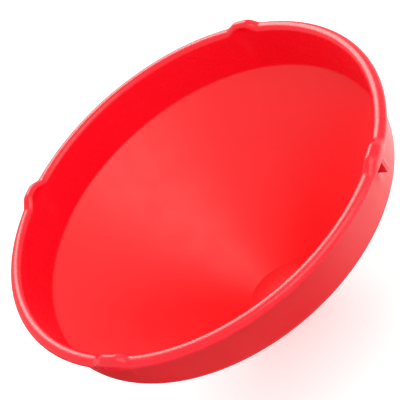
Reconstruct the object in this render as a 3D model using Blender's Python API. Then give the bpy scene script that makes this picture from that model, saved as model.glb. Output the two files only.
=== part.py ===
"""Ride-on spinning top: a thin moulded bowl that a child sits in, on a wear foot screwed to its tip.

Metres, +Z up. The top stands upright on its foot, with its axis on the world Z axis and the
floor at z = 0. Lug 0 is at +X, and the others follow every 90 degrees.
"""

import bmesh
import bpy
from math import atan2, cos, hypot, pi, radians, sin, tan

from mathutils import Matrix, Vector

# Bowl
RIM_RADIUS = 0.400  # outer face of the turned-down lip
RIM_HEIGHT = 0.440  # top of the rim above the floor
SKIN = 0.0045  # thickness of the moulded plastic
LIP_WIDTH = 0.0245  # from the lip's outer face to the inner wall, across the rim
LIP_CORNER = 0.0105  # rounding of the rim's outer corner
LIP_FACE = 0.001  # straight part of the lip under that rounding
RIM_FLAT = 0.002  # flat strip on top, between the roundings of the outer and the inner corner
WALL_DEPTH = 0.1025  # from the top of the rim to the crease
WALL_DRAFT = 0.005  # how far the inner wall leans in, from the rim to the crease
CREASE_BLEND = 0.008  # rounding inside the crease
TIP_RADIUS = 0.065  # inner radius where the cone meets the flat tip
TIP_BLEND = 0.030  # rounding inside that corner

# Lugs on the rim
LUG_COUNT = 4
LUG_WIDTH = 0.086  # along the rim
LUG_RAMP = 0.032  # along the rim, from the rim's height to the lug's
LUG_RISE = 0.0115  # above the rim
LUG_PROUD = 0.0025  # outwards from the lip
LUG_WALL_BLEND = 0.030  # how far down the inner wall a lug reaches

# Block under the lip of lug 0
BLOCK_WIDTH = 0.044  # along the rim
BLOCK_OFFSET = 0.018  # from the lug's middle to the block's, along the rim
BLOCK_DROP = 0.041  # from the top of the rim to the block's underside
BLOCK_SETBACK = 0.0005  # from the lip's outer face to the block's

# Foot, clamp disc, screws and cover
FOOT_INSET = 0.0005  # from the edge of the bowl's flat tip to the foot's side
FOOT_HEIGHT = 0.022
FOOT_EDGE = 0.014  # rounding of the foot's lower edge
SPIGOT_RADIUS = 0.010  # centring spigot on top of the foot
PEG_RADIUS = 0.0045  # peg under the cover, held in the spigot
PEG_LENGTH = 0.012  # length of the peg inside the spigot
DISC_INSET = 0.010  # from the edge of the bowl's flat tip to the disc's edge
DISC_THICKNESS = 0.003
SCREW_COUNT = 4
SCREW_CIRCLE = 0.028  # radius of the circle of screws
SCREW_RADIUS = 0.003
SCREW_GRIP = 0.012  # length of thread in the foot
HEAD_RADIUS = 0.0057
HEAD_HEIGHT = 0.0038
SOCKET_RADIUS = 0.0023  # corner radius of the hexagon socket
SOCKET_DEPTH = 0.002
COVER_OVERLAP = 0.004  # how far the cover's edge reaches out over the straight cone
COVER_THICKNESS = 0.003
COVER_CROWN = 0.012  # rise of the cover's middle above its edge

# Clearances
GAP = 0.0003  # between pieces that touch
HOLE_CLEARANCE = 0.0003  # round a screw, the spigot and the peg

# Mesh fineness
SECTOR_STEPS = 18  # spin steps between two lugs
LUG_STEPS = 10  # spin steps over one lug
ROUND_STEPS = 48  # spin steps of a small round piece
ARC_STEPS = 4  # segments of one rounded corner
WELD = 1e-5  # points closer than this are one point: it closes the seam where a spin ends
SMOOTH_ANGLE = radians(40)

# Worked out from the values above
INNER_RADIUS = RIM_RADIUS - LIP_WIDTH
CREASE_RADIUS = INNER_RADIUS - WALL_DRAFT
BEAD_RADIUS = LIP_WIDTH - RIM_FLAT - LIP_CORNER  # rounding of the rim's inner corner
LIP_BOTTOM = RIM_HEIGHT - LIP_CORNER - LIP_FACE
CREASE_HEIGHT = RIM_HEIGHT - WALL_DEPTH
WEB_TOP = FOOT_HEIGHT + GAP + SKIN  # inside face of the bowl's flat tip
DISC_BASE = WEB_TOP + GAP
HEAD_BASE = DISC_BASE + DISC_THICKNESS + GAP
SPIGOT_TOP = DISC_BASE + DISC_THICKNESS
CONE_SLOPE = atan2(CREASE_HEIGHT - WEB_TOP, CREASE_RADIUS - TIP_RADIUS)
TIP_TANGENT = TIP_BLEND * tan(CONE_SLOPE / 2)  # from the tip's corner to each end of its rounding
FOOT_RADIUS = TIP_RADIUS - TIP_TANGENT - FOOT_INSET
DISC_RADIUS = TIP_RADIUS - TIP_TANGENT - DISC_INSET
COVER_RADIUS = TIP_RADIUS + TIP_TANGENT * cos(CONE_SLOPE) + COVER_OVERLAP
LUG_ANGLE = LUG_WIDTH / RIM_RADIUS
LUG_PITCH = 2 * pi / LUG_COUNT
# The cover's edge rests on the cone, one gap off it.
COVER_EDGE = WEB_TOP + (COVER_RADIUS - TIP_RADIUS) * tan(CONE_SLOPE) + GAP / cos(CONE_SLOPE)


def clear_scene():
    for obj in list(bpy.data.objects):
        bpy.data.objects.remove(obj, do_unlink=True)


def material(name, color, roughness, metallic=0.0):
    mat = bpy.data.materials.new(name)
    mat.use_nodes = True
    shader = mat.node_tree.nodes["Principled BSDF"]
    shader.inputs["Base Color"].default_value = (*color, 1.0)
    shader.inputs["Roughness"].default_value = roughness
    shader.inputs["Metallic"].default_value = metallic
    return mat


def add_object(name, bm, mat, parent=None, location=(0, 0, 0)):
    """Turns the bmesh into a named object, with smooth round faces and sharp corners."""
    bmesh.ops.recalc_face_normals(bm, faces=bm.faces)
    mesh = bpy.data.meshes.new(name)
    bm.to_mesh(mesh)
    bm.free()
    for face in mesh.polygons:
        face.use_smooth = True
    mesh.set_sharp_from_angle(angle=SMOOTH_ANGLE)
    if mat:
        mesh.materials.append(mat)
    obj = bpy.data.objects.new(name, mesh)
    bpy.context.scene.collection.objects.link(obj)
    obj.parent = parent
    obj.location = location
    return obj


def helper(obj):
    """Marks an object as a tool for a Boolean, which is no piece of the top."""
    obj.hide_render = True
    obj.display_type = "WIRE"
    return obj


def boolean(obj, name, tool, operation):
    mod = obj.modifiers.new(name, "BOOLEAN")
    mod.operation = operation
    mod.solver = "EXACT"
    mod.object = tool


def rounded(corners):
    """Points (radius, height) along an outline whose corners are (radius, height, rounding)."""
    points = []
    for i, (r, z, blend) in enumerate(corners):
        if not blend:
            points.append(Vector((r, z)))
            continue
        corner = Vector((r, z))
        back = (Vector(corners[i - 1][:2]) - corner).normalized()
        ahead = (Vector(corners[i + 1][:2]) - corner).normalized()
        half = back.angle(ahead) / 2
        center = corner + (back + ahead).normalized() * (blend / sin(half))
        start = corner + back * (blend / tan(half)) - center
        end = corner + ahead * (blend / tan(half)) - center
        turn = start.angle_signed(end)
        for k in range(ARC_STEPS + 1):
            points.append(center + Matrix.Rotation(-turn * k / ARC_STEPS, 2) @ start)
    return points


def profile_edges(bm, points, closed):
    verts = [bm.verts.new((p[0], 0, p[1])) for p in points]
    edges = [bm.edges.new(pair) for pair in zip(verts, verts[1:])]
    if closed:
        edges.append(bm.edges.new((verts[-1], verts[0])))
    return verts, edges


def lathe(points, closed=False):
    """A bmesh of the outline turned once about Z. Outlines that start and end on the axis stay open."""
    bm = bmesh.new()
    verts, edges = profile_edges(bm, points, closed)
    bmesh.ops.spin(bm, geom=verts + edges, axis=(0, 0, 1), cent=(0, 0, 0), angle=2 * pi,
                   steps=ROUND_STEPS, use_merge=True)
    bmesh.ops.remove_doubles(bm, verts=bm.verts, dist=WELD)
    return bm


def cylinders(name, places, radius, bottom, top):
    """Boolean tool: one upright cylinder at each place."""
    bm = bmesh.new()
    for x, y in places:
        bmesh.ops.create_cone(
            bm, cap_ends=True, segments=20, radius1=radius, radius2=radius, depth=top - bottom,
            matrix=Matrix.Translation((x, y, (bottom + top) / 2)))
    return helper(add_object(name, bm, None))


def screw_places():
    return [(SCREW_CIRCLE * cos(a), SCREW_CIRCLE * sin(a))
            for a in (2 * pi * (k + 0.5) / SCREW_COUNT for k in range(SCREW_COUNT))]


def bowl_outline():
    """The skin's upper side, from the lip's lower edge over the rim and down to the tip's hole."""
    return rounded([
        (RIM_RADIUS, LIP_BOTTOM, 0),
        (RIM_RADIUS, RIM_HEIGHT, LIP_CORNER),
        (INNER_RADIUS, RIM_HEIGHT, BEAD_RADIUS),
        (wall_radius(LUG_WALL_BLEND), RIM_HEIGHT - LUG_WALL_BLEND, 0),
        (CREASE_RADIUS, CREASE_HEIGHT, CREASE_BLEND),
        (TIP_RADIUS, WEB_TOP, TIP_BLEND),
        (SPIGOT_RADIUS + HOLE_CLEARANCE, WEB_TOP, 0),
    ])


def wall_radius(depth):
    """Inner radius of the side wall at a depth under the rim."""
    return INNER_RADIUS - WALL_DRAFT * depth / WALL_DEPTH


def lug_height(azimuth):
    """1 on a lug, 0 between lugs, with a smooth ramp at each side."""
    off = abs((azimuth + LUG_PITCH / 2) % LUG_PITCH - LUG_PITCH / 2) * RIM_RADIUS
    ramp = min(max((LUG_WIDTH / 2 - off) / LUG_RAMP, 0), 1)
    return ramp * ramp * (3 - 2 * ramp)


def make_bowl(mat, parent):
    bm = bmesh.new()
    # The spin copies this layer, which says how much of a lug's rise a point takes.
    share = bm.verts.layers.float.new("lug share")
    verts, edges = profile_edges(bm, bowl_outline(), closed=False)
    for vert in verts:
        above = vert.co.z - (RIM_HEIGHT - LUG_WALL_BLEND)
        on_rim = vert.co.z > LIP_BOTTOM + GAP
        vert[share] = min(max(above / (LUG_WALL_BLEND - BEAD_RADIUS), 0), 1) if on_rim else 0
    start = -LUG_ANGLE / 2
    bmesh.ops.rotate(bm, verts=verts, cent=(0, 0, 0), matrix=Matrix.Rotation(start, 3, "Z"))
    geom = verts + edges
    for _ in range(LUG_COUNT):
        for angle, steps in ((LUG_ANGLE, LUG_STEPS), (LUG_PITCH - LUG_ANGLE, SECTOR_STEPS)):
            spun = bmesh.ops.spin(bm, geom=geom, axis=(0, 0, 1), cent=(0, 0, 0), angle=angle, steps=steps)
            geom = spun["geom_last"]
    bmesh.ops.remove_doubles(bm, verts=bm.verts, dist=WELD)
    for vert in bm.verts:
        rise = lug_height(atan2(vert.co.y, vert.co.x))
        radius = hypot(vert.co.x, vert.co.y)
        outward = min(max((radius - INNER_RADIUS) / LIP_WIDTH, 0), 1) * LUG_PROUD * rise
        vert.co.z += LUG_RISE * rise * vert[share]
        vert.co.xy *= 1 + outward / radius
    bowl = add_object("bowl", bm, mat, parent)
    # The flat tip faces up, so that the skin's thickness goes on below and outside.
    if min(bowl.data.polygons, key=lambda face: face.center.z).normal.z < 0:
        bowl.data.flip_normals()
    skin = bowl.modifiers.new("skin", "SOLIDIFY")
    skin.thickness = SKIN
    skin.offset = -1
    skin.use_even_offset = True
    boolean(bowl, "screw holes",
            cylinders("bowl_screw_holes", screw_places(), SCREW_RADIUS + HOLE_CLEARANCE,
                      FOOT_HEIGHT - SKIN, WEB_TOP + SKIN), "DIFFERENCE")
    boolean(bowl, "lip block", lip_block(), "UNION")
    return bowl


def lip_block():
    """Boolean tool: the block under the lip of lug 0. Its inner side and top end inside the skin."""
    outer = RIM_RADIUS - BLOCK_SETBACK
    bottom, top = RIM_HEIGHT - BLOCK_DROP, RIM_HEIGHT - SKIN / 2
    outline = rounded([
        (outer, bottom, 0),
        (outer, top, LIP_CORNER - SKIN / 2),
        (wall_radius(0) + SKIN / 2, top, BEAD_RADIUS - SKIN / 2),
        (wall_radius(BLOCK_DROP) + SKIN / 2, bottom, 0),
    ])
    bm = bmesh.new()
    verts = [bm.verts.new((p[0], 0, p[1])) for p in outline]
    face = bm.faces.new(verts)
    start = (BLOCK_OFFSET - BLOCK_WIDTH / 2) / RIM_RADIUS
    bmesh.ops.rotate(bm, verts=verts, cent=(0, 0, 0), matrix=Matrix.Rotation(start, 3, "Z"))
    bmesh.ops.spin(bm, geom=[face], axis=(0, 0, 1), cent=(0, 0, 0), angle=BLOCK_WIDTH / RIM_RADIUS, steps=5)
    return helper(add_object("lip_block", bm, None))


def make_foot(mat, parent):
    bore_bottom = SPIGOT_TOP - PEG_LENGTH - GAP
    bore = PEG_RADIUS + HOLE_CLEARANCE
    outline = rounded([
        (0, 0, 0),
        (FOOT_RADIUS, 0, FOOT_EDGE),
        (FOOT_RADIUS, FOOT_HEIGHT, 0),
        (SPIGOT_RADIUS, FOOT_HEIGHT, 0),
        (SPIGOT_RADIUS, SPIGOT_TOP, 0),
        (bore, SPIGOT_TOP, 0),
        (bore, bore_bottom, 0),
        (0, bore_bottom, 0),
    ])
    foot = add_object("pivot_foot", lathe(outline), mat, parent)
    boolean(foot, "screw holes",
            cylinders("foot_screw_holes", screw_places(), SCREW_RADIUS + HOLE_CLEARANCE,
                      FOOT_HEIGHT - SCREW_GRIP - GAP, FOOT_HEIGHT + SKIN), "DIFFERENCE")
    return foot


def make_disc(mat, parent):
    bore = SPIGOT_RADIUS + HOLE_CLEARANCE
    outline = [(bore, 0), (DISC_RADIUS, 0), (DISC_RADIUS, DISC_THICKNESS), (bore, DISC_THICKNESS)]
    disc = add_object("clamp_disc", lathe(outline, closed=True), mat, parent, (0, 0, DISC_BASE))
    boolean(disc, "screw holes",
            cylinders("disc_screw_holes", screw_places(), SCREW_RADIUS + HOLE_CLEARANCE,
                      WEB_TOP - SKIN, HEAD_BASE + HEAD_HEIGHT), "DIFFERENCE")
    return disc


def make_screws(mat, parent):
    """Each screw hangs from the plane under its head."""
    length = HEAD_BASE - (FOOT_HEIGHT - SCREW_GRIP)
    for number, (x, y) in enumerate(screw_places(), start=1):
        outline = rounded([
            (0, -length, 0),
            (SCREW_RADIUS, -length, 0),
            (SCREW_RADIUS, 0, 0),
            (HEAD_RADIUS, 0, 0),
            (HEAD_RADIUS, HEAD_HEIGHT, HEAD_HEIGHT / 3),
            (0, HEAD_HEIGHT, 0),
        ])
        screw = add_object(f"foot_screw_{number}", lathe(outline), mat, parent, (x, y, HEAD_BASE))
        bm = bmesh.new()
        bmesh.ops.create_cone(
            bm, cap_ends=True, segments=6, radius1=SOCKET_RADIUS, radius2=SOCKET_RADIUS,
            depth=2 * SOCKET_DEPTH, matrix=Matrix.Translation((0, 0, HEAD_HEIGHT)))
        socket = helper(add_object(f"socket_{number}", bm, None, screw))
        boolean(screw, "socket", socket, "DIFFERENCE")


def make_cover(mat, parent):
    """A domed cap with a peg, its origin at the height of its edge."""
    sphere = (COVER_RADIUS ** 2 + COVER_CROWN ** 2) / (2 * COVER_CROWN)
    steps = 8

    def dome(radius, lower_by):
        return COVER_CROWN - lower_by - sphere + (sphere ** 2 - radius ** 2) ** 0.5

    top = [(COVER_RADIUS * k / steps, dome(COVER_RADIUS * k / steps, 0)) for k in range(steps, -1, -1)]
    inner = COVER_RADIUS - COVER_THICKNESS
    under = [(r, dome(r, COVER_THICKNESS)) for r in
             (PEG_RADIUS + (inner - PEG_RADIUS) * k / steps for k in range(steps + 1))]
    peg_end = SPIGOT_TOP - PEG_LENGTH - COVER_EDGE
    outline = top + [(0, peg_end), (PEG_RADIUS, peg_end)] + under
    return add_object("tip_cover", lathe(outline, closed=True), mat, parent, (0, 0, COVER_EDGE))


def main():
    clear_scene()
    red = material("bowl_red", (0.86, 0.018, 0.022), 0.28)
    black = material("foot_black", (0.03, 0.03, 0.032), 0.5)
    steel = material("plated_steel", (0.62, 0.62, 0.6), 0.3, 1.0)
    top = bpy.data.objects.new("spinning_top", None)
    bpy.context.scene.collection.objects.link(top)
    make_bowl(red, top)
    make_foot(black, top)
    make_disc(steel, top)
    make_screws(steel, top)
    make_cover(red, top)


main()
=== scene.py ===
from math import atan2, ceil, exp, hypot, pi, sin, tan

import bmesh
import bpy
from mathutils import Matrix, Vector


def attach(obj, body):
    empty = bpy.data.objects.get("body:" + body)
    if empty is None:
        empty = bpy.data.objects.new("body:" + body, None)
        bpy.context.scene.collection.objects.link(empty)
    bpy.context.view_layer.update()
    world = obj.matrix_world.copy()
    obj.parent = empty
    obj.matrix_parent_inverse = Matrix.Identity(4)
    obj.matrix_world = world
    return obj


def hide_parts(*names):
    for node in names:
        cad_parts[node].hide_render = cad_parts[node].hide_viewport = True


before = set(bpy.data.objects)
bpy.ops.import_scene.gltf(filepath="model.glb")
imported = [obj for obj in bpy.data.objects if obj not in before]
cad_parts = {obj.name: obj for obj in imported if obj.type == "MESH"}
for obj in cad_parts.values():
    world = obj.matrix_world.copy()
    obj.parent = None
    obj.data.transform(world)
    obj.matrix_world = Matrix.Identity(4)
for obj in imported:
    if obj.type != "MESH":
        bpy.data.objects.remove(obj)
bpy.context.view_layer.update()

# Bowl, in metres
RIM_RADIUS = 0.400
RIM_HEIGHT = 0.440
SKIN = 0.0045
LIP_WIDTH = 0.0245
LIP_CORNER = 0.0105  # rounding at the rim's outer edge
LIP_FACE = 0.001
RIM_FLAT = 0.002
WALL_DEPTH = 0.1025
WALL_DRAFT = 0.005
CREASE_BLEND = 0.008
TIP_RADIUS = 0.065
TIP_BLEND = 0.030
TIP_HOLE = 0.0103
WEB_TOP = 0.0268
INNER_RADIUS = RIM_RADIUS - LIP_WIDTH
BEAD_RADIUS = LIP_WIDTH - RIM_FLAT - LIP_CORNER  # rounding at the rim's inner edge
LIP_DROP = LIP_CORNER + LIP_FACE
CREASE_HEIGHT = RIM_HEIGHT - WALL_DEPTH

# Lugs on the rim
LUG_COUNT = 4
LUG_WIDTH = 0.086
LUG_RAMP = 0.032
LUG_RISE = 0.0103
LUG_PROUD = 0.0025
LUG_WALL_BLEND = 0.030  # how far below the rim the inner wall starts to rise into a lug
LUG_CROWN = 0.0022  # how far the middle of a lug's top stands above its edges
# Soft hollows in the inner wall under a lug: (depth, half width, how far below the rim, half length)
GRIP_HOLLOW = (0.0060, 0.020, 0.015, 0.008)
LONG_HOLLOW = (0.0040, 0.012, 0.034, 0.022)

# Block under the lip of one lug
BLOCK_WIDTH = 0.044
BLOCK_OFFSET = 0.018
BLOCK_DROP = 0.041
BLOCK_SETBACK = 0.0005  # how far it stays inside the rim's outer edge
BLOCK_FULL = 0.2  # share of its width that stands out in full, before it fades into the wall
BLOCK_FADE = 0.95  # share of its thickness that is lost at the faded end

# Fineness of the meshes
PROFILE_STEP = 0.009  # longest straight edge in the bowl's profile
PROFILE_SEGMENTS = 7  # in each rounding of the profile
BLOCK_SEGMENTS = 6
LUG_STEPS = 36
GAP_STEPS = 46  # between two lugs
BLOCK_STEPS = 16
LUG_MARGIN = 0.01  # how much longer than a lug its fine steps run
LIP_EDGE = 0.0003  # what lies this near the bottom of the lip is its lower edge
WELD = 1e-5
SHARP_ANGLE = 0.7  # radians
SOFTENED_ANGLE = 1.0  # radians
SOFTENED_WIDTH = 0.0008

# Camera: where it stands, and the directions of the picture's right, its top and the back of the camera
PLACE = (1.22318, -1.09933, 1.66921)
RIGHT = (0.806837, 0.301978, -0.507763)
UP = (0.078955, 0.796659, 0.599250)
BACK = (0.585474, -0.523588, 0.618931)
LENS = 99.97  # in millimetres, as the sensor is
SENSOR_WIDTH = 36

# Studio: white above the horizon and dim far below it. Between them a band is bright on one side of the
# bowl and dark on the other, for the sheen on its outer wall. A softbox is (place, side, power in watts).
STUDIO_LEVEL = 0.78
DIM_LEVEL = 0.3
SHEEN_LEVEL = 2.2
SHEEN_SIDE = (0.26, 0.966, 0.0)  # points at the bright side
WARM_WHITE = (1.0, 0.95, 0.89)
LIGHTS_AIM = (0, 0, 0.3)
SOFTBOXES = {
    "side": ((2.8, 0.5, 1.5), 1.6, 8),
    "key": ((1.6, -0.3, 2.8), 2.4, 36),
    "backdrop": ((-1.95, 2.20, 2.6), 2.0, 80),
}
FLOOR_REACH = 30
FLOOR_GLOW = 0.4


# Materials

def new_finish(name):
    mat = bpy.data.materials.new(name)
    mat.use_nodes = True
    return mat, mat.node_tree, mat.node_tree.nodes["Principled BSDF"]


def add(tree, kind, **settings):
    node = tree.nodes.new(kind)
    for key, value in settings.items():
        setattr(node, key, value)
    return node


def noise(tree, scale, detail, rough=0.5, stretch=(1, 1, 1)):
    where = add(tree, "ShaderNodeTexCoord")
    mapping = add(tree, "ShaderNodeMapping")
    mapping.inputs["Scale"].default_value = stretch
    tree.links.new(where.outputs["Object"], mapping.inputs["Vector"])
    grain = add(tree, "ShaderNodeTexNoise")
    grain.inputs["Scale"].default_value = scale
    grain.inputs["Detail"].default_value = detail
    grain.inputs["Roughness"].default_value = rough
    tree.links.new(mapping.outputs["Vector"], grain.inputs["Vector"])
    return grain.outputs["Fac"]


def ramp(tree, fac, stops):
    """A colour ramp through (place, grey) or (place, (red, green, blue)) stops."""
    node = add(tree, "ShaderNodeValToRGB")
    while len(node.color_ramp.elements) < len(stops):
        node.color_ramp.elements.new(0.5)
    for element, (place, value) in zip(node.color_ramp.elements, stops):
        element.position = place
        element.color = (*value, 1) if isinstance(value, tuple) else (value, value, value, 1)
    tree.links.new(fac, node.inputs["Fac"])
    return node.outputs["Color"]


def mix(tree, fac, low, high):
    """The low colour where fac is 0 and the high one where it is 1. Each may be a value or a socket."""
    node = add(tree, "ShaderNodeMix", data_type="RGBA")
    for socket, value in ((node.inputs[0], fac), (node.inputs[6], low), (node.inputs[7], high)):
        if isinstance(value, bpy.types.NodeSocket):
            tree.links.new(value, socket)
        else:
            socket.default_value = value
    return node.outputs[2]


def spread(tree, value, start, end, highest=1.0):
    """0 up to where the value is at start, and the highest from where it is at end."""
    node = add(tree, "ShaderNodeMapRange")
    node.inputs["From Min"].default_value = start
    node.inputs["From Max"].default_value = end
    node.inputs["To Max"].default_value = highest
    tree.links.new(value, node.inputs["Value"])
    return node.outputs["Result"]


def height_in(tree, direction):
    """The upward share of a texture coordinate."""
    split = add(tree, "ShaderNodeSeparateXYZ")
    tree.links.new(direction, split.inputs["Vector"])
    return split.outputs["Z"]


def below(tree, top, bottom):
    """0 above one height on the piece and 1 below the other, in metres."""
    return spread(tree, height_in(tree, add(tree, "ShaderNodeTexCoord").outputs["Object"]), top, bottom)


def bump(tree, shader, layers):
    """Chains (height, strength, distance) layers of relief into the shader's normal."""
    last = None
    for height, strength, distance in layers:
        node = add(tree, "ShaderNodeBump")
        node.inputs["Strength"].default_value = strength
        node.inputs["Distance"].default_value = distance
        tree.links.new(height, node.inputs["Height"])
        if last:
            tree.links.new(last, node.inputs["Normal"])
        last = node.outputs["Normal"]
    tree.links.new(last, shader.inputs["Normal"])


def red_moulded_plastic(name, red, blue, dull=0.0):
    """Soft-gloss red polyethylene with a faint orange-peel surface and a few fine scuffs.

    Red and blue are how much of each its colour has above the crease, and dull adds roughness there.
    The cone, which is sat in and rubs on the floor, is duller, and its colour is a little paler and
    pinker: partly rubbed wear and partly a painted sheen.
    """
    mat, tree, shader = new_finish(name)
    cone = below(tree, CREASE_HEIGHT + CREASE_BLEND / 2, CREASE_HEIGHT - CREASE_BLEND / 2)
    clouds = ramp(tree, noise(tree, scale=4.0, detail=4.0), [
        (0.3, (red - 0.03, 0.0026, blue - 0.001)),
        (0.7, (red + 0.03, 0.0036, blue + 0.002)),
    ])
    # Paler, pinker red for the cone below the crease: partly rubbed wear, partly a painted sheen.
    rubbed_and_sheen = ramp(tree, noise(tree, scale=7.0, detail=5.0, rough=0.6), [
        (0.3, (red - 0.01, 0.009, 0.014)),
        (0.7, (red + 0.03, 0.012, 0.017)),
    ])
    upright = (1, 1, 0.15)
    scratches = noise(tree, scale=60.0, detail=6.0, rough=0.7, stretch=upright)
    scuffs = ramp(tree, scratches, [(0.62, 0.0), (0.80, 0.06)])
    scuffed = (red, 0.03, 0.045, 1)
    colour = mix(tree, scuffs, mix(tree, cone, clouds, rubbed_and_sheen), scuffed)
    tree.links.new(colour, shader.inputs["Base Color"])
    patches = noise(tree, scale=22.0, detail=5.0, rough=0.6)
    smooth = ramp(tree, patches, [(0.35, 0.24 + dull), (0.75, 0.32 + dull)])
    worn = ramp(tree, patches, [(0.35, 0.42), (0.75, 0.50)])
    tree.links.new(mix(tree, cone, smooth, worn), shader.inputs["Roughness"])
    shader.inputs["IOR"].default_value = 1.5
    waves = noise(tree, scale=9.0, detail=2.0)
    orange_peel = noise(tree, scale=420.0, detail=2.0)
    bump(tree, shader, [(waves, 0.10, 0.004), (orange_peel, 0.10, 0.0004)])
    return mat


def worn_black_plastic():
    """Matt black wear plastic, greyed and scratched where it rubs on the floor."""
    mat, tree, shader = new_finish("worn_black_plastic")
    black = (0, 0, 0, 1)
    moulded = (0.018, 0.018, 0.019, 1)
    greyed = (0.09, 0.088, 0.085, 1)
    scratches = ramp(tree, noise(tree, scale=90.0, detail=6.0, rough=0.7), [(0.35, 0.1), (0.65, 0.9)])
    wear = mix(tree, below(tree, 0.012, 0.0), black, scratches)
    tree.links.new(mix(tree, wear, moulded, greyed), shader.inputs["Base Color"])
    roughness = ramp(tree, noise(tree, scale=55.0, detail=4.0), [(0.3, 0.45), (0.7, 0.65)])
    tree.links.new(roughness, shader.inputs["Roughness"])
    grain = noise(tree, scale=700.0, detail=3.0)
    level = (1, 1, 4)
    scrapes = noise(tree, scale=40.0, detail=5.0, rough=0.7, stretch=level)
    bump(tree, shader, [(grain, 0.25, 0.0004), (scrapes, 0.12, 0.0012)])
    return mat


def zinc_plated_steel():
    """Zinc-plated steel with fine rolling lines and dull spots."""
    mat, tree, shader = new_finish("zinc_plated_steel")
    bluish = (0.50, 0.51, 0.52)
    bright = (0.66, 0.66, 0.64)
    colour = ramp(tree, noise(tree, scale=70.0, detail=5.0, rough=0.6), [(0.3, bluish), (0.7, bright)])
    tree.links.new(colour, shader.inputs["Base Color"])
    spots = ramp(tree, noise(tree, scale=110.0, detail=5.0, rough=0.6), [(0.3, 0.24), (0.7, 0.42)])
    tree.links.new(spots, shader.inputs["Roughness"])
    shader.inputs["Metallic"].default_value = 1.0
    rolling_lines = noise(tree, scale=260.0, detail=3.0, stretch=(1, 14, 1))
    bump(tree, shader, [(rolling_lines, 0.12, 0.0003)])
    return mat


def plain_floor():
    mat, tree, shader = new_finish("plain_floor")
    shader.inputs["Base Color"].default_value = (0.9, 0.9, 0.9, 1)
    shader.inputs["Roughness"].default_value = 0.9
    shader.inputs["Specular IOR Level"].default_value = 0.1
    shader.inputs["Emission Color"].default_value = (1, 1, 1, 1)
    shader.inputs["Emission Strength"].default_value = FLOOR_GLOW
    return mat


# Bowl

def clamp(value):
    """The value, held between 0 and 1."""
    return min(max(value, 0), 1)


def ease(share):
    """A smooth step from 0 to 1."""
    return share * share * (3 - 2 * share)


def wall_radius(depth):
    """The inner wall's radius at a depth below the rim."""
    return INNER_RADIUS - WALL_DRAFT * depth / WALL_DEPTH


def turn(bm, angle):
    """Turns the whole mesh about the bowl's axis."""
    bmesh.ops.rotate(bm, verts=bm.verts, cent=(0, 0, 0), matrix=Matrix.Rotation(angle, 3, "Z"))


def spin(bm, geom, angle, steps):
    """Spins the geometry about the bowl's axis, and gives its last copy."""
    spun = bmesh.ops.spin(bm, geom=geom, axis=(0, 0, 1), cent=(0, 0, 0), angle=angle, steps=steps)
    return spun["geom_last"]


def round_corner(bm, vert, offset, segments):
    bmesh.ops.bevel(bm, geom=[vert], offset=offset, offset_type="OFFSET", segments=segments,
                    profile=0.5, affect="VERTICES", material=-1)


def rounded_chain(bm, corners):
    """A chain of edges through (radius, height, rounding) corners, with long straights cut up."""
    verts = [bm.verts.new((radius, 0, height)) for radius, height, _ in corners]
    for pair in zip(verts, verts[1:]):
        bm.edges.new(pair)
    for before, here, after, vert in zip(corners, corners[1:], corners[2:], verts[1:]):
        if here[2]:
            back = Vector(before[:2]) - Vector(here[:2])
            ahead = Vector(after[:2]) - Vector(here[:2])
            round_corner(bm, vert, here[2] / tan(back.angle(ahead) / 2), PROFILE_SEGMENTS)
    for edge in list(bm.edges):
        cuts = ceil(edge.calc_length() / PROFILE_STEP) - 1
        if cuts:
            bmesh.ops.subdivide_edges(bm, edges=[edge], cuts=cuts)


def lug_share(azimuth):
    """1 on a lug and 0 between lugs with a smooth ramp at each side, and the way from its middle."""
    pitch = 2 * pi / LUG_COUNT
    off = abs((azimuth + pitch / 2) % pitch - pitch / 2) * RIM_RADIUS
    return ease(clamp((LUG_WIDTH / 2 - off) / LUG_RAMP)), off


def raise_lugs(bm):
    """Lifts the rim into lugs, and presses the hollows into the inner wall under each."""
    for vert in bm.verts:
        share, off = lug_share(atan2(vert.co.y, vert.co.x))
        radius = hypot(vert.co.x, vert.co.y)
        depth = RIM_HEIGHT - vert.co.z
        across = (RIM_RADIUS - radius) / LIP_WIDTH
        stays = radius >= INNER_RADIUS and depth >= LIP_DROP - LIP_EDGE
        lift = 0 if stays else clamp((LUG_WALL_BLEND - depth) / (LUG_WALL_BLEND - BEAD_RADIUS))
        crown = LUG_CROWN * share * sin(pi * clamp(across)) ** 2 if depth < LIP_CORNER else 0
        outward = clamp(1 - across) * LUG_PROUD * share
        inside = clamp(2 * across - 1)
        for deep, wide, middle, long in (GRIP_HOLLOW, LONG_HOLLOW):
            outward += inside * deep * exp(-(off / wide) ** 2 - ((depth - middle) / long) ** 2)
        vert.co.z += LUG_RISE * share * lift + crown
        vert.co.xy *= 1 + outward / radius


def finished(name, bm, mat):
    """The bmesh as a smooth-shaded piece that stands for the bowl."""
    mesh = bpy.data.meshes.new(name)
    bm.to_mesh(mesh)
    bm.free()
    for face in mesh.polygons:
        face.use_smooth = True
    mesh.set_sharp_from_angle(angle=SHARP_ANGLE)
    mesh.materials.append(mat)
    piece = bpy.data.objects.new(name, mesh)
    bpy.context.scene.collection.objects.link(piece)
    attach(piece, "root")
    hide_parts("bowl")
    return piece


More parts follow.
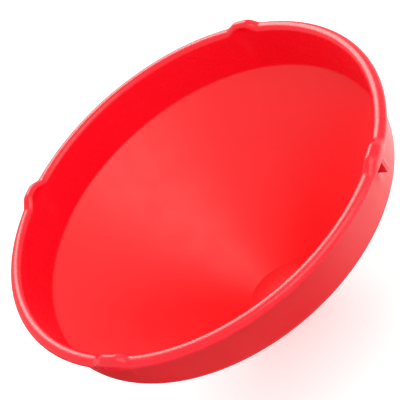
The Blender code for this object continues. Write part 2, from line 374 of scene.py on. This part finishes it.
def make_bowl(inside, outside):
    """The bowl's inner surface, spun from its profile, with a wall of one thickness laid outside it."""
    bm = bmesh.new()
    rounded_chain(bm, [
        (RIM_RADIUS, RIM_HEIGHT - LIP_DROP, 0),
        (RIM_RADIUS, RIM_HEIGHT, LIP_CORNER),
        (INNER_RADIUS, RIM_HEIGHT, BEAD_RADIUS),
        (wall_radius(WALL_DEPTH), CREASE_HEIGHT, CREASE_BLEND),
        (TIP_RADIUS, WEB_TOP, TIP_BLEND),
        (TIP_HOLE, WEB_TOP, 0),
    ])
    lug_angle = (LUG_WIDTH + LUG_MARGIN) / RIM_RADIUS
    pitch = 2 * pi / LUG_COUNT
    turn(bm, -lug_angle / 2)
    profile = list(bm.verts) + list(bm.edges)
    for _ in range(LUG_COUNT):
        profile = spin(bm, profile, lug_angle, LUG_STEPS)
        profile = spin(bm, profile, pitch - lug_angle, GAP_STEPS)
    bmesh.ops.remove_doubles(bm, verts=bm.verts, dist=WELD)
    raise_lugs(bm)
    bmesh.ops.recalc_face_normals(bm, faces=bm.faces)
    lowest = min(bm.faces, key=lambda face: face.calc_center_median().z)
    if lowest.normal.z < 0:
        bmesh.ops.reverse_faces(bm, faces=bm.faces)
    bowl = finished("moulded_bowl", bm, inside)
    bowl.data.materials.append(outside)
    wall = bowl.modifiers.new("wall", "SOLIDIFY")
    wall.thickness = SKIN
    wall.offset = -1
    wall.use_even_offset = True
    wall.material_offset = 1
    edges = bowl.modifiers.new("softened edges", "BEVEL")
    edges.width = SOFTENED_WIDTH
    edges.segments = 2
    edges.limit_method = "ANGLE"
    edges.angle_limit = SOFTENED_ANGLE


def make_lip_block(mat):
    """The block under the lip of the lug at +X: flat at one end, and faded into the wall at the other."""
    bm = bmesh.new()
    top = RIM_HEIGHT - SKIN / 2
    bottom = RIM_HEIGHT - BLOCK_DROP
    outer = RIM_RADIUS - BLOCK_SETBACK
    wall = wall_radius(BLOCK_DROP) + SKIN / 2
    end = ((wall, 0, bottom), (outer, 0, bottom), (outer, 0, top), (wall_radius(0) + SKIN / 2, 0, top))
    corners = [bm.verts.new(place) for place in end]
    bm.faces.new(corners)
    round_corner(bm, corners[2], LIP_CORNER - SKIN / 2, BLOCK_SEGMENTS)
    round_corner(bm, corners[3], BEAD_RADIUS - SKIN / 2, BLOCK_SEGMENTS)
    start = (BLOCK_OFFSET - BLOCK_WIDTH / 2) / RIM_RADIUS
    width = BLOCK_WIDTH / RIM_RADIUS
    turn(bm, start)
    spin(bm, list(bm.faces), width, BLOCK_STEPS)
    for vert in bm.verts:
        radius = hypot(vert.co.x, vert.co.y)
        along = (atan2(vert.co.y, vert.co.x) - start) / width
        fade = ease(clamp((along - BLOCK_FULL) / (1 - BLOCK_FULL)))
        if radius > wall:
            vert.co.xy *= (wall + (radius - wall) * (1 - BLOCK_FADE * fade)) / radius
    bmesh.ops.recalc_face_normals(bm, faces=bm.faces)
    finished("lip_block", bm, mat)


# Floor, light and camera

def make_floor():
    bm = bmesh.new()
    bmesh.ops.create_grid(bm, x_segments=1, y_segments=1, size=FLOOR_REACH)
    mesh = bpy.data.meshes.new("floor")
    bm.to_mesh(mesh)
    bm.free()
    mesh.materials.append(plain_floor())
    floor = bpy.data.objects.new("floor", mesh)
    bpy.context.scene.collection.objects.link(floor)
    floor.visible_glossy = False


def add_softbox(name, place, side, power):
    """A square light at that place, facing the bowl."""
    data = bpy.data.lights.new(name, "AREA")
    data.size = side
    data.energy = power
    data.color = WARM_WHITE
    light = bpy.data.objects.new(name, data)
    light.location = place
    light.rotation_euler = (Vector(LIGHTS_AIM) - Vector(place)).to_track_quat("-Z", "Y").to_euler()
    bpy.context.scene.collection.objects.link(light)


def light_studio():
    """The world's light by direction, and the softboxes. Slope is 0 straight down and 1 at the horizon."""
    world = bpy.data.worlds.new("studio")
    world.use_nodes = True
    tree = world.node_tree
    where = add(tree, "ShaderNodeTexCoord").outputs["Generated"]
    slope = spread(tree, height_in(tree, where), -1.0, 0.0)
    toward = add(tree, "ShaderNodeVectorMath", operation="DOT_PRODUCT")
    toward.inputs[1].default_value = SHEEN_SIDE
    tree.links.new(where, toward.inputs[0])
    sheen = spread(tree, toward.outputs["Value"], -0.15, 0.35, highest=SHEEN_LEVEL)
    plain = ramp(tree, slope, [(0.3, DIM_LEVEL), (0.6, 1.0)])
    band = ramp(tree, slope, [(0.10, 0.0), (0.22, 1.0), (0.55, 1.0), (0.90, 0.0)])
    background = tree.nodes["Background"]
    tree.links.new(mix(tree, band, plain, sheen), background.inputs["Color"])
    background.inputs["Strength"].default_value = STUDIO_LEVEL
    bpy.context.scene.world = world
    for name, (place, side, power) in SOFTBOXES.items():
        add_softbox(name, place, side, power)
    bpy.context.scene.view_settings.view_transform = "Standard"


def place_camera():
    data = bpy.data.cameras.new("camera")
    data.lens = LENS
    data.sensor_width = SENSOR_WIDTH
    camera = bpy.data.objects.new("camera", data)
    camera.matrix_world = Matrix.Translation(PLACE) @ Matrix((RIGHT, UP, BACK)).transposed().to_4x4()
    bpy.context.scene.collection.objects.link(camera)
    bpy.context.scene.camera = camera


def main():
    red = red_moulded_plastic("red_moulded_plastic", red=0.86, blue=0.0165)
    # The outside copy is painted a darker red than the inside one: painted shade on the outer wall, the
    # underside and the lip block. It is also a little rougher.
    red_outside_shaded = red_moulded_plastic("red_outside_plastic", red=0.69, blue=0.008, dull=0.08)
    make_bowl(red, red_outside_shaded)
    make_lip_block(red_outside_shaded)
    steel = zinc_plated_steel()
    black = worn_black_plastic()
    finishes = {"tip_cover": red, "pivot_foot": black, "clamp_disc": steel}
    finishes.update({f"foot_screw_{number}": steel for number in range(1, 5)})
    for node, finish in finishes.items():
        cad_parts[node].material_slots[0].material = finish
    make_floor()
    light_studio()
    place_camera()


main()
